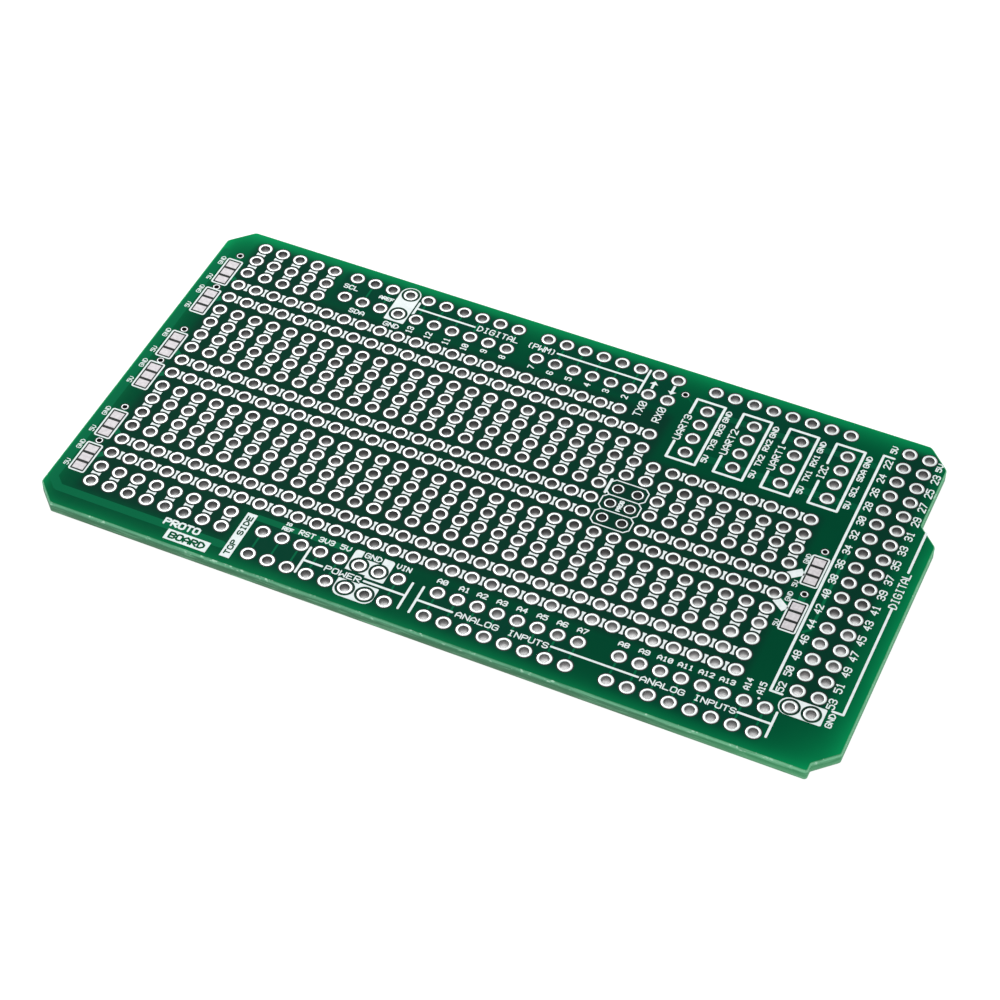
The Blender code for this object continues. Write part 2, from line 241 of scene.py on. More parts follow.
def circle(centre, radius, steps=ROUND_STEPS):
    turn = 2 * math.pi / steps
    return [centre + Vector((math.cos(turn * i), math.sin(turn * i))) * radius for i in range(steps)]


def corners(left, bottom, right, top):
    return (left, bottom), (right, bottom), (right, top), (left, top)


def box(*edges):
    """Rectangle given by its left, bottom, right and top edge in pitches."""
    return [at(*corner) for corner in corners(*edges)]


def box_round(centre, size):
    """Rectangle given by its centre and size in pitches."""
    (x, y), (width, height) = centre, size
    return box(x - width / 2, y - height / 2, x + width / 2, y + height / 2)


def rounded(points_and_radii, steps=5):
    """Closed outline of points in pitches, each corner an arc of its own radius in mm."""
    points = [at(*point) for point, _ in points_and_radii]
    outline = []
    for i, (_, radius) in enumerate(points_and_radii):
        corner = points[i]
        back = (points[i - 1] - corner).normalized()
        ahead = (points[(i + 1) % len(points)] - corner).normalized()
        half = back.angle(ahead) / 2
        start = corner + back * radius / math.tan(half)
        end = corner + ahead * radius / math.tan(half)
        centre = corner + (back + ahead).normalized() * radius / math.sin(half)
        for step in range(steps + 1):
            spoke = (start - centre).lerp(end - centre, step / steps)
            outline.append(centre + spoke.normalized() * radius)
    return outline


def capsule(a, b, width, steps=4):
    """Straight stroke with round ends."""
    along = (b - a).normalized() if (b - a).length > 1e-6 else Vector((1, 0))
    across = Vector((-along.y, along.x))
    outline = []
    for end, forward in ((b, along), (a, -along)):
        side = -across if end is b else across
        for i in range(steps + 1):
            angle = math.pi * i / steps
            outline.append(end + (side * math.cos(angle) + forward * math.sin(angle)) * width / 2)
    return outline


def flat_bar(start, end, width):
    """Oblique bar with square ends, in pitches."""
    a, b = at(*start), at(*end)
    along = (b - a).normalized()
    side = Vector((-along.y, along.x)) * width * PITCH / 2
    return [a - side, b - side, b + side, a + side]


def strokes(points, width):
    """Capsules along a path of points in mm."""
    return [capsule(a, b, width) for a, b in zip(points, points[1:])]


def path(points, width):
    """Capsules along a path of points in pitches, width in pitches."""
    return strokes([at(*point) for point in points], width * PITCH)


def lettering(text, centre, length, height, upright=False, weight=TEXT_STROKE):
    """Strokes of a text; an upright text is turned a quarter so that it reads upwards."""
    units = GLYPH_WIDTH * len(text) + GLYPH_GAP * (len(text) - 1)
    scale_x = (length - weight) / units
    scale_y = (height - weight) / GLYPH_HEIGHT
    outlines = []
    for place, character in enumerate(text):
        for word in GLYPHS[character].split():
            line = []
            for x, y in zip(word[::2], word[1::2]):
                across = (place * (GLYPH_WIDTH + GLYPH_GAP) + int(x) - units / 2) * scale_x
                up = (int(y) - GLYPH_HEIGHT / 2) * scale_y
                offset = (-up, across) if upright else (across, up)
                line.append(at(centre[0] + offset[0], centre[1] + offset[1]))
            outlines += strokes(line, weight * PITCH)
    return outlines


# ---- meshes
def new_object(name, data):
    """Object in the scene that shows a mesh, a lamp or a camera."""
    holder = bpy.data.objects.new(name, data)
    bpy.context.scene.collection.objects.link(holder)
    return holder


def add_mesh(name, material, points, faces, stands_for=(), smooth=False):
    """New piece from points in mm over the board's corner; it rides with the board."""
    mesh = bpy.data.meshes.new(name)
    world = np.asarray(points, dtype=float) * MM + np.array(CORNER)
    mesh.from_pydata(world.tolist(), [], faces)
    mesh.materials.append(material)
    if smooth:
        mesh.shade_smooth()
        mesh.set_sharp_from_angle(angle=math.radians(50))
    piece = new_object(name, mesh)
    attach(piece, "root")
    if stands_for:
        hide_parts(*stands_for)
    return piece


def plate(name, material, solids, cuts, low, high, stands_for=()):
    """Flat layer: everything inside the solid outlines and outside the cut ones."""
    outlines = list(solids) + list(cuts)
    points = []
    loops = []
    for outline in outlines:
        loops.append(list(range(len(points), len(points) + len(outline))))
        points += outline
    found, _, faces, _, _, sources = delaunay_2d_cdt(points, [], loops, 1, 1e-4)
    first_cut = len(solids)
    kept = []
    for face, source in zip(faces, sources):
        if source and max(source) < first_cut:
            kept.append(face)
    used = sorted({corner for face in kept for corner in face})
    place = {old: new for new, old in enumerate(used)}
    count = len(used)
    vertices = [(found[i].x, found[i].y, level) for level in (low, high) for i in used]
    edges = set()
    mesh_faces = []
    for face in kept:
        ring = [place[i] for i in face]
        mesh_faces.append([i + count for i in ring])
        mesh_faces.append(ring[::-1])
        edges.update(zip(ring, ring[1:] + ring[:1]))
    for a, b in edges:
        if (b, a) not in edges:
            mesh_faces.append([a, b, b + count, a + count])
    return add_mesh(name, material, vertices, mesh_faces, stands_for)


def revolve_many(name, material, centres, profile, rng, stands_for=()):
    """Closed turned profile of tin at every centre in pitches, with slightly uneven solder."""
    radii = np.array([r for r, _ in profile])
    heights = np.array([z for _, z in profile])
    turn = np.arange(ROUND_STEPS) * 2 * math.pi / ROUND_STEPS
    ring = np.stack([np.cos(turn), np.sin(turn)], axis=1)
    steps, sides = len(profile), ROUND_STEPS
    points = []
    faces = []
    for centre in centres:
        base = len(points) * sides * steps
        lift = rng.uniform(*SOLDER_RELIEF, size=2)
        level = heights.copy()
        top = level > LAMINATE_TOP
        under = level < LAMINATE_BOTTOM
        level[top] = LAMINATE_TOP + (level[top] - LAMINATE_TOP) * lift[0]
        level[under] = LAMINATE_BOTTOM + (level[under] - LAMINATE_BOTTOM) * lift[1]
        block = np.empty((steps, sides, 3))
        block[:, :, :2] = radii[:, None, None] * ring[None] + np.array(at(*centre))[None, None]
        block[:, :, 2] = level[:, None]
        points.append(block.reshape(-1, 3))
        for j in range(steps):
            near = base + j * sides
            far = base + (j + 1) % steps * sides
            for i in range(sides):
                n = (i + 1) % sides
                faces.append([near + i, far + i, far + n, near + n])
    return add_mesh(name, material, np.concatenate(points), faces, stands_for, smooth=True)


def eyelet_profile(hole, pad):
    """Plated hole with a domed land on both faces, as radius and height."""
    land = pad - hole
    wall = hole + PLATING
    return [
        (hole, LAMINATE_TOP + 0.004), (hole + 0.05, THICKNESS - 0.008),
        (hole + 0.35 * land, THICKNESS), (hole + 0.75 * land, THICKNESS - 0.004),
        (pad - 0.02, THICKNESS - 0.014),
        (pad, LAMINATE_TOP + HAIR), (wall, LAMINATE_TOP + HAIR), (wall, LAMINATE_BOTTOM - HAIR),
        (pad, LAMINATE_BOTTOM - HAIR), (pad - 0.02, 0.014), (hole + 0.6 * land, 0.0),
        (hole + 0.05, 0.008), (hole, LAMINATE_BOTTOM - 0.004),
    ]


def inset(outline, distance):
    """The outline moved inwards by a small distance."""
    moved = []
    for i, point in enumerate(outline):
        back = (point - outline[i - 1]).normalized()
        ahead = (outline[(i + 1) % len(outline)] - point).normalized()
        inward = (Vector((-back.y, back.x)) + Vector((-ahead.y, ahead.x))).normalized()
        moved.append(point + inward * distance)
    return moved


def faces_between(low, high, size):
    """Faces from one closed loop of points to another, each given by its first point."""
    neighbours = [(i, (i + 1) % size) for i in range(size)]
    return [[low + i, low + n, high + n, high + i] for i, n in neighbours]


def ring_piece(name, material, loops):
    """Closed ring with a section of several corners: one (outline, height) for each corner."""
    size = len(loops[0][0])
    points = [(p.x, p.y, z) for outline, z in loops for p in outline]
    faces = []
    for j in range(len(loops)):
        faces += faces_between(j * size, (j + 1) % len(loops) * size, size)
    return add_mesh(name, material, points, faces)


# ---- materials
def linear(red, green, blue):
    """Linear colour of 8-bit display values."""
    channels = []
    for value in (red, green, blue):
        level = value / 255
        channels.append(level / 12.92 if level <= 0.04045 else ((level + 0.055) / 1.055) ** 2.4)
    return (*channels, 1.0)


# light that a level surface gets, so that a colour given as seen can be turned into paint
LIGHT_LEVEL = 1.35


def seen(colour, light=LIGHT_LEVEL):
    """Base colour that shows as this 8-bit display colour under the studio light."""
    return (*(channel / light for channel in linear(*colour)[:3]), 1.0)


class Shading:
    """One procedural material under construction."""

    def __init__(self, name):
        self.material = bpy.data.materials.new(name)
        self.material.use_nodes = True
        self.tree = self.material.node_tree
        self.tree.nodes.clear()
        self.shader = self.node("BsdfPrincipled")
        output = self.node("OutputMaterial")
        self.join(self.shader.outputs["BSDF"], output.inputs["Surface"])
        self.place = self.node("TexCoord").outputs["Object"]
        split = self.node("SeparateXYZ")
        self.join(self.place, split.inputs[0])
        self.x, self.y, self.z = split.outputs

    def node(self, kind):
        return self.tree.nodes.new("ShaderNode" + kind)

    def join(self, source, target):
        """Feeds a socket from another socket or from a plain value."""
        if isinstance(source, bpy.types.NodeSocket):
            self.tree.links.new(source, target)
        else:
            target.default_value = source

    def math(self, operation, first, second=0.0, clamp=False):
        step = self.node("Math")
        step.operation = operation
        step.use_clamp = clamp
        self.join(first, step.inputs[0])
        self.join(second, step.inputs[1])
        return step.outputs[0]

    def noise(self, scale, detail=3.0, stretch=(1.0, 1.0, 1.0), roughness=0.5):
        """Noise from 0 to 1; scale is in features per metre."""
        mapping = self.node("Mapping")
        mapping.inputs["Scale"].default_value = stretch
        self.join(self.place, mapping.inputs["Vector"])
        noise = self.node("TexNoise")
        noise.inputs["Scale"].default_value = scale
        noise.inputs["Detail"].default_value = detail
        noise.inputs["Roughness"].default_value = roughness
        self.join(mapping.outputs[0], noise.inputs["Vector"])
        return noise.outputs["Fac"]

    def ramp(self, value, stops):
        """Colour ramp of (position, colour) stops."""
        node = self.node("ValToRGB")
        elements = node.color_ramp.elements
        while len(elements) < len(stops):
            elements.new(0.5)
        for element, (position, colour) in zip(elements, stops):
            element.position = position
            element.color = colour
        self.join(value, node.inputs[0])
        return node.outputs[0]

    def between(self, value, low, high, to_low=0.0, to_high=1.0):
        """Smooth step of a value from to_low at low to to_high at high."""
        node = self.node("MapRange")
        node.interpolation_type = "SMOOTHSTEP"
        for socket, number in zip(node.inputs[1:5], (low, high, to_low, to_high)):
            socket.default_value = number
        self.join(value, node.inputs[0])
        return node.outputs[0]

    def mix(self, amount, first, second, blend="MIX"):
        node = self.node("Mix")
        node.data_type = "RGBA"
        node.blend_type = blend
        self.join(amount, node.inputs[0])
        self.join(first, node.inputs[6])
        self.join(second, node.inputs[7])
        return node.outputs[2]

    def bump(self, height, distance, strength=1.0):
        node = self.node("Bump")
        node.inputs["Strength"].default_value = strength
        node.inputs["Distance"].default_value = distance
        self.join(height, node.inputs["Height"])
        self.join(node.outputs[0], self.shader.inputs["Normal"])

    def finish(self, colour, roughness, metallic=0.0, specular=0.5):
        self.join(colour, self.shader.inputs["Base Color"])
        self.join(roughness, self.shader.inputs["Roughness"])
        self.shader.inputs["Metallic"].default_value = metallic
        self.shader.inputs["Specular IOR Level"].default_value = specular
        return self.material


# light that enters at each cut edge: axis, place of the edge, direction inwards, then the depth
# in metres over which it fades, and its strength
EDGE_GLOWS = (
    ("x", CAD_BOX[0].x, 1, 0.0009, 0.83), ("x", CAD_BOX[1].x, -1, 0.00165, 0.66),
    ("y", CAD_BOX[0].y, 1, 0.0011, 0.48), ("y", CAD_BOX[1].y, -1, 0.0018, 0.83),
)
# and at two corners, where it fades along the diagonal
CORNER_GLOWS = (
    (CAD_BOX[1].x, -1, CAD_BOX[0].y, 1, 0.0046, 0.60),
    (CAD_BOX[0].x, 1, CAD_BOX[1].y, -1, 0.0034, 0.45),
)
# areas full of pads, where less light gets into the laminate: left, bottom, right, top in pitches
GRID_FIELDS = (
    (1.50, 3.5, 25.7, 17.6), (1.65, 17.0, 6.45, 20.22), (1.65, 1.35, 9.6, 4.0),
    (25.0, 3.5, 34.6, 14.4), (36.6, 2.6, 38.5, 20.25),
)
HEADER_FIELDS = (
    (6.7, 17.9, 16.7, 20.28), (17.8, 17.9, 25.2, 20.28), (26.9, 17.9, 34.1, 20.28),
    (10.6, 0.62, 18.4, 3.0), (19.8, 0.62, 27.3, 3.0), (28.8, 0.62, 36.3, 3.0),
)
FIELD_SOFTNESS = 0.0008
# colours of the mask, as seen: open area, painted light at the cut edge, painted shade in the header
# rows and in the grid, darkest clouds, over copper
OPEN_GREEN = (1, 71, 46)
EDGE_GLOW_GREEN = (9, 154, 90)
HEADER_SHADE_GREEN = (5, 63, 46)
GRID_SHADE_GREEN = (9, 55, 41)
CLOUD_GREEN = (0, 60, 43)
COPPER_GREEN = (8, 108, 70)
# how far each of these replaces the green under it, up to 1: painted shade of the header rows and of
# the grid, then the green over thick and over thin copper
HEADER_SHADE_COVER = 0.9
GRID_SHADE_COVER = 0.95
COPPER_COVER = 0.85
THIN_COPPER_COVER = 0.35
# the mask is nearly matt: the reflection of the lamp would wash it out
MASK_SPECULAR = 0.003


def glow(shading, depth, fade, strength):
    """Light that fades exponentially with the depth inside an edge."""
    level = shading.math("EXPONENT", shading.math("DIVIDE", depth, -fade))
    return shading.math("MULTIPLY", level, strength)


def edge_light(shading):
    """From 1 where two cut edges meet to 0 well inside the board."""
    total = None
    for axis, edge, inwards, fade, strength in EDGE_GLOWS:
        place = shading.x if axis == "x" else shading.y
        depth = shading.math("MULTIPLY", shading.math("SUBTRACT", place, edge), inwards)
        level = glow(shading, depth, fade, strength)
        total = level if total is None else shading.math("ADD", total, level, clamp=True)
    for edge_x, inwards_x, edge_y, inwards_y, fade, strength in CORNER_GLOWS:
        across = shading.math("MULTIPLY", shading.math("SUBTRACT", shading.x, edge_x), inwards_x)
        along = shading.math("MULTIPLY", shading.math("SUBTRACT", shading.y, edge_y), inwards_y)
        depth = shading.math("MULTIPLY", shading.math("ADD", across, along), math.sqrt(0.5))
        total = shading.math("ADD", total, glow(shading, depth, fade, strength), clamp=True)
    return total


def field_shade(shading, fields):
    """1 within some fields of pads, 0 outside them."""
    total = None
    for left, bottom, right, top in fields:
        shade = None
        for axis, origin, low, high in (
            (shading.x, CORNER.x, left, right),
            (shading.y, CORNER.y, bottom + ROW_ZERO, top + ROW_ZERO),
        ):
            first = origin + low * PITCH * MM
            last = origin + high * PITCH * MM
            rising = shading.between(axis, first - FIELD_SOFTNESS, first + FIELD_SOFTNESS)
            falling = shading.between(axis, last - FIELD_SOFTNESS, last + FIELD_SOFTNESS, 1.0, 0.0)
            inside = shading.math("MULTIPLY", rising, falling)
            shade = inside if shade is None else shading.math("MULTIPLY", shade, inside)
        total = shade if total is None else shading.math("MAXIMUM", total, shade)
    return total


def mask_green_and_painted_light(shading):
    """Colour of the mask, with light and shade painted in: bright at the cut edge, dark between the
    pads.
    """
    # painted light near the cut edges, then painted shade over the fields of pads
    green = shading.mix(edge_light(shading), seen(OPEN_GREEN), seen(EDGE_GLOW_GREEN))
    header = shading.math("MULTIPLY", field_shade(shading, HEADER_FIELDS), HEADER_SHADE_COVER)
    green = shading.mix(header, green, seen(HEADER_SHADE_GREEN))
    grid = shading.math("MULTIPLY", field_shade(shading, GRID_FIELDS), GRID_SHADE_COVER)
    green = shading.mix(grid, green, seen(GRID_SHADE_GREEN))
    drift = shading.noise(160.0, 2.0)
    return shading.mix(shading.between(drift, 0.35, 0.7, 0.0, 0.12), green, seen(CLOUD_GREEN))


def mask_material():
    shading = Shading("solder_mask")
    weave = shading.noise(1400.0, 2.0)
    shading.bump(weave, 0.000004)
    gloss = shading.between(weave, 0.3, 0.7, 0.30, 0.38)
    return shading.finish(mask_green_and_painted_light(shading), gloss, specular=MASK_SPECULAR)


def band_material(name, cover):
    """Solder mask where copper lies under it, over the mask's green with its painted light and shade.
    """
    shading = Shading(name)
    green = shading.mix(cover, mask_green_and_painted_light(shading), seen(COPPER_GREEN))
    return shading.finish(green, 0.32, specular=MASK_SPECULAR)


# thick and thin places of the ink, as seen
INK_WHITES = ((239, 247, 247), (224, 236, 236))


def ink_material():
    shading = Shading("white_legend_ink")
    coverage = shading.noise(1800.0, 3.0)
    thick, thin = (seen(colour) for colour in INK_WHITES)
    white = shading.mix(shading.between(coverage, 0.35, 0.75), thick, thin)
    shading.bump(coverage, 0.000004)
    return shading.finish(white, 0.55, specular=0.2)


# painted light and shade of the hole walls, from the lower face to the upper one, as share of the
# thickness and 8-bit level
OPEN_HOLE_SHADE = ((0.03, 248), (0.22, 238), (0.38, 164), (0.53, 110), (0.70, 76), (0.90, 50))
NARROW_HOLE_SHADE = ((0.03, 116), (0.40, 66), (0.93, 40))
# bright and dull places of the tin
PAD_TIN = ((202, 208, 207), (192, 198, 197))
JUMPER_TIN = ((216, 212, 215), (200, 195, 199))
# painted shade: the eyelets are painted a little darker on the lamp's side, where its reflection lies
# on them
TIN_SHADE_NEAR_LAMP = 0.905
TIN_FAR_FROM_LAMP = 1.02
# the painted shade differs a little from hole to hole: darkest and brightest, as share of the levels
# above
WALL_UNEVENNESS = (0.80, 1.14)


# light from below gets this far up a hole's wall, against the levels above: in the middle of the
# board, and what comes on top of that at the left or rear, and at the lower right
REACH_MIDDLE = 0.86
REACH_LEFT = 0.26
REACH_REAR = 0.33
REACH_LOWER_RIGHT = 0.66
# that last zone is bounded by a sloping line, which turns straight down below this height (m)
ZONE_SLOPE = 0.25
ZONE_LEVEL_BELOW = -0.0169


def light_reach(shading):
    """How far up a hole's wall the light from below gets."""
    left = shading.between(shading.x, -0.030, -0.010, REACH_LEFT, 0.0)
    rear = shading.between(shading.y, 0.0014, 0.0192, 0.0, REACH_REAR)
    height = shading.math("MAXIMUM", shading.y, ZONE_LEVEL_BELOW)
    slope = shading.math("MULTIPLY", shading.x, ZONE_SLOPE)
    zone = shading.math("SUBTRACT", height, slope)
    lower_right = shading.between(zone, -0.0227, -0.0074, REACH_LOWER_RIGHT, 0.0)
    reach = shading.math("ADD", shading.math("MAXIMUM", left, rear), lower_right)
    return shading.math("ADD", reach, REACH_MIDDLE)


def tin_material(name, painted_wall_levels):
    """Tinned eyelet: even faces, and a wall with painted shade that darkens towards the upper mouth
    of the hole.
    """
    shading = Shading(name)
    mottle = shading.noise(1500.0, 3.0)
    bright, dull = (linear(*colour) for colour in PAD_TIN)
    face = shading.mix(shading.between(mottle, 0.3, 0.7), bright, dull)
    # painted shade on the lamp's side of the board
    lamp_side_shade = shading.between(shading.x, 0.010, 0.040, TIN_SHADE_NEAR_LAMP, TIN_FAR_FROM_LAMP)
    face = shading.mix(1.0, face, lamp_side_shade, "MULTIPLY")
    height = shading.math("DIVIDE", shading.z, THICKNESS * MM)
    share = shading.math("DIVIDE", height, light_reach(shading))
    # painted shade: the wall's colour falls from bright at the lower face to dark at the upper mouth
    wall = shading.ramp(share, [(place, linear(level, level, level)) for place, level in painted_wall_levels])
    unequal = shading.between(shading.noise(230.0, 1.0), 0.3, 0.7, *WALL_UNEVENNESS)
    wall = shading.mix(1.0, wall, unequal, "MULTIPLY")
    top = LAMINATE_TOP / THICKNESS
    bottom = LAMINATE_BOTTOM / THICKNESS
    upper = shading.between(height, top + 0.002, top + 0.010)
    under = shading.between(height, bottom - 0.010, bottom, 1.0, 0.0)
    colour = shading.mix(shading.math("MAXIMUM", upper, under), wall, face)
    shading.bump(mottle, 0.000006)
    return shading.finish(colour, shading.between(mottle, 0.3, 0.7, 0.30, 0.42), metallic=0.35)


def jumper_tin_material():
    """Hot-levelled solder of the jumper pads: duller and more uneven than the eyelets."""
    shading = Shading("levelled_solder")
    mottle = shading.noise(2600.0, 4.0)
    bright, dull = (seen(colour) for colour in JUMPER_TIN)
    shading.bump(mottle, 0.00001)
    colour = shading.mix(shading.between(mottle, 0.35, 0.65), bright, dull)
    return shading.finish(colour, 0.6, metallic=0.1)


def laminate_material():
    """Laminate as it shows in the narrow gaps of the mask round the pads, painted near black as
    shade.
    """
    shading = Shading("shaded_glass_laminate")
    cloudy = shading.noise(900.0, 2.0)
    # painted shade: near-black greens in place of the laminate's own paler colour
    green = shading.mix(shading.between(cloudy, 0.3, 0.7), seen((2, 14, 12)), seen((5, 24, 19)))
    return shading.finish(green, 0.6, specular=0.2)


# light on the upright sides of the board
SIDE_LEVEL = 1.05
# layers of the cut edge from the lower face to the upper one, with a painted highlight in the light
# band near the top, as share of the thickness and colour as seen: on most of the board, and towards
# its right end
EDGE_LAYERS_AND_HIGHLIGHT = (
    (0.0, (108, 132, 110)), (0.16, (86, 128, 100)), (0.40, (72, 124, 93)), (0.60, (66, 122, 90)),
    (0.72, (76, 138, 104)), (0.83, (102, 170, 134)), (0.92, (100, 168, 131)), (1.0, (40, 124, 82)),
)
RIGHT_EDGE_LAYERS_AND_HIGHLIGHT = (
    (0.0, (112, 150, 124)), (0.16, (98, 164, 122)), (0.40, (78, 154, 108)), (0.62, (62, 140, 94)),
    (0.74, (90, 166, 122)), (0.84, (122, 194, 150)), (0.93, (112, 182, 140)), (1.0, (50, 140, 88)),
)
# light and dark streaks of the glass cloth, and painted glints of highlight
CLOTH_COLOURS = ((124, 190, 150), (48, 106, 72), (168, 214, 186))


def cut_edge_material():
    """Routed edge of the laminate: layers of glass cloth running along it, with a painted highlight
    and painted glints near the top.
    """
    shading = Shading("routed_laminate_edge")
    level = shading.math("DIVIDE", shading.z, THICKNESS * MM)
    base, right = (
        shading.ramp(level, [(place, seen(colour, SIDE_LEVEL)) for place, colour in layers])
        for layers in (EDGE_LAYERS_AND_HIGHLIGHT, RIGHT_EDGE_LAYERS_AND_HIGHLIGHT)
    )
    light, dark, painted_glint = (seen(colour, SIDE_LEVEL) for colour in CLOTH_COLOURS)
    base = shading.mix(shading.between(shading.x, 0.024, 0.044), base, right)
    cloth = shading.noise(900.0, 4.0, (0.35, 0.35, 5.0), 0.6)
    green = shading.mix(shading.between(cloth, 0.50, 0.68, 0.0, 0.5), base, light)
    green = shading.mix(shading.between(cloth, 0.32, 0.46, 0.4, 0.0), green, dark)
    # painted glints, only on the upper part of the edge
    painted_glints = shading.between(shading.noise(2600.0, 2.0, (0.5, 0.5, 1.0)), 0.60, 0.72)
    upper = shading.between(level, 0.62, 0.82)
    green = shading.mix(shading.math("MULTIPLY", painted_glints, upper), green, painted_glint)
    shading.bump(cloth, 0.00004, 0.6)
    return shading.finish(green, 0.5, specular=0.05)


# ---- places of the pads
def block_centres(first, columns, rows):
    return [(first[0] + i, first[1] - j) for i in range(columns) for j in range(rows)]


def strip_spans(blocks):
    """(column, top row, bottom row) of every strip in some blocks."""
    spans = []
    for first, columns, top, bottom in blocks:
        spans += [(GRID_LEFT + first + i, top, bottom) for i in range(columns)]
    return spans


def pad_groups():
    """Pad centres of every CAD node of pads, in pitches."""
    groups = {"lands_" + name: block_centres(*block) for name, *block in HEADERS}
    for name, row, first, columns in RAILS:
        groups["rail_" + name] = [(GRID_LEFT + first + i, row) for i in range(columns)]
    for name, blocks in STRIPS:
        spans = strip_spans(blocks)
        groups["strips_" + name] = [(x, row) for x, top, low in spans for row in range(low, top + 1)]
    return groups


PADS = pad_groups()
ICSP_PADS = block_centres(*ICSP[1:])
ALL_PADS = [centre for centres in PADS.values() for centre in centres]


def circles(centres, radius, steps=ROUND_STEPS):
    return [circle(at(*centre), radius, steps) for centre in centres]


def openings(growth):
    """Outlines of every pad on a face that the mask leaves bare, grown a little."""
    return (
        circles(ALL_PADS, PAD_RADIUS + growth)
        + circles(ICSP_PADS, ICSP_PAD_RADIUS + growth)
        + circles(VIAS, VIA_PAD_RADIUS + growth)
    )


def jumper_pads(centre):
    """Outlines of the three pads of a solder jumper."""
    rows = [centre[1] + step * JUMPER_PAD_STEP for step in (-1, 0, 1)]
    return [box_round((centre[0], row), JUMPER_PAD) for row in rows]


# ---- the board itself
# the cut edge is a separate ring: its width, and how far its outer corners are broken (mm)
RIM_WIDTH = 0.15
TOP_BEVEL = 0.10
UNDER_BEVEL = 0.02
BOARD = rounded(OUTLINE)
BOARD_RIM = inset(BOARD, RIM_WIDTH)


def build_laminate():
    drills = (
        circles(ALL_PADS, HOLE_RADIUS + PLATING)
        + circles(ICSP_PADS, ICSP_HOLE_RADIUS + PLATING)
        + circles(VIAS, VIA_HOLE_RADIUS + PLATING)
    )
    plate(
        "laminate", laminate_material(), [BOARD_RIM], drills,
        LAMINATE_BOTTOM, LAMINATE_TOP, ("fr4_core",),
    )
    ring_piece("cut_edge", cut_edge_material(), (
        (BOARD_RIM, LAMINATE_BOTTOM), (BOARD, LAMINATE_BOTTOM + UNDER_BEVEL),
        (BOARD, LAMINATE_TOP - TOP_BEVEL), (BOARD_RIM, LAMINATE_TOP),
    ))


def bare_places():
    """Outlines on the top face that neither mask nor ink may cover."""
    windows = [box_round(centre, JUMPER_WINDOW) for _, centre, _, _ in JUMPERS]
    return openings(MASK_OPENING) + windows


def build_mask(material):
    plate(
        "mask_top", material, [BOARD_RIM], bare_places(),
        LAMINATE_TOP, MASK_TOP, ("solder_mask_top",),
    )
    plate(
        "mask_under", material, [BOARD_RIM], openings(MASK_OPENING),
        MASK_UNDER, LAMINATE_BOTTOM,
    )


# copper under the mask: widths in pitches
BUS_WIDTH = 0.45
BRANCH_WIDTH = 0.14
TRACK_WIDTH = 0.10
FEED_WIDTH = 0.30
VIA_BAND_WIDTH = 0.34
UNDER_TRACK_WIDTH = 0.50
# pin columns where the edge header is joined to the inner one:
# first column, number, edge row, inner row
JOINED_PINS = (
    (7.41, 3, 20.0, 18.5), (11.41, 6, 20.0, 18.5), (18.05, 8, 20.0, 18.5), (11.05, 5, 1.0, 2.5),
    (18.05, 1, 1.0, 2.5), (20.05, 8, 1.0, 2.5), (29.05, 8, 1.0, 2.5),
)
# the bus along the left and lower edge, a branch near the double row, the power bar
BUS = ((0.36, 19.00), (0.36, 1.52), (0.92, 0.98), (9.66, 0.98))
BRANCH = ((36.37, 12.60), (36.37, 7.60), (36.10, 7.32))
POWER_BAR = (10.38, 3.00, 15.30, 3.36)
# thin copper across the first and the last pins of the four-pin connectors, and the track to it
# from the last via
CONNECTOR_BARS = ((26.60, 18.37, 35.90, 18.75), (27.90, 15.40, 36.20, 15.83))
CONNECTOR_TRACK = ((25.71, 19.24), (26.60, 18.56))


def joined_pin_tracks():
    outlines = []
    for first, count, edge, inner in JOINED_PINS:
        for i in range(count):
            outlines += path([(first + i, edge), (first + i, inner)], TRACK_WIDTH)
    return outlines


def build_bands(material, faint_material):
    """Copper that shows through the mask as a raised, lighter green."""
    top = joined_pin_tracks() + path(BUS, BUS_WIDTH)
    top.append(box(*POWER_BAR))
    top += path(BRANCH, BRANCH_WIDTH)
    for _, centre, (column, row), _ in JUMPERS:
        top += path([centre, (GRID_LEFT + column, row)], FEED_WIDTH)
    for via, (_, (x, y), _, _) in zip(VIAS, JUMPERS):
        top += path([via, (x, y + JUMPER_PAD_STEP)], VIA_BAND_WIDTH)
    plate("bands_top", material, top, bare_places(), MASK_TOP - HAIR, BAND_TOP)
    faint = [box(*edges) for edges in CONNECTOR_BARS] + path(CONNECTOR_TRACK, TRACK_WIDTH)
    plate(
        "bands_connectors", faint_material, faint, bare_places(),
        MASK_TOP - HAIR, BAND_TOP,
    )
    under = joined_pin_tracks()
    for _, row, first, columns in RAILS:
        start = GRID_LEFT + first
        under += path([(start, row), (start + columns - 1, row)], UNDER_TRACK_WIDTH)
    for _, blocks in STRIPS:
        for column, high, low in strip_spans(blocks):
            under += path([(column, high), (column, low)], UNDER_TRACK_WIDTH)
    plate(
        "bands_under", material, under, openings(MASK_OPENING),
        BAND_UNDER, MASK_UNDER + HAIR,
    )


# ---- tinned pads
def build_pads(material, narrow_material):
    rng = np.random.default_rng(7)
    profile = eyelet_profile(HOLE_RADIUS, PAD_RADIUS)
    for name, centres in PADS.items():
        revolve_many(name.replace("lands_", "pads_"), material, centres, profile, rng, (name,))
    profile = eyelet_profile(ICSP_HOLE_RADIUS, ICSP_PAD_RADIUS)
    revolve_many("pads_programming", narrow_material, ICSP_PADS, profile, rng, (ICSP[0],))
    profile = eyelet_profile(VIA_HOLE_RADIUS, VIA_PAD_RADIUS)
    revolve_many("vias", narrow_material, VIAS, profile, rng)


# flat solder pads: height over the ink, then inset and drop of the shoulder, inset of the top (mm)
CUSHION_RISE = 0.006
SHOULDER_INSET = 0.01
SHOULDER_DROP = 0.008
CUSHION_INSET = 0.06


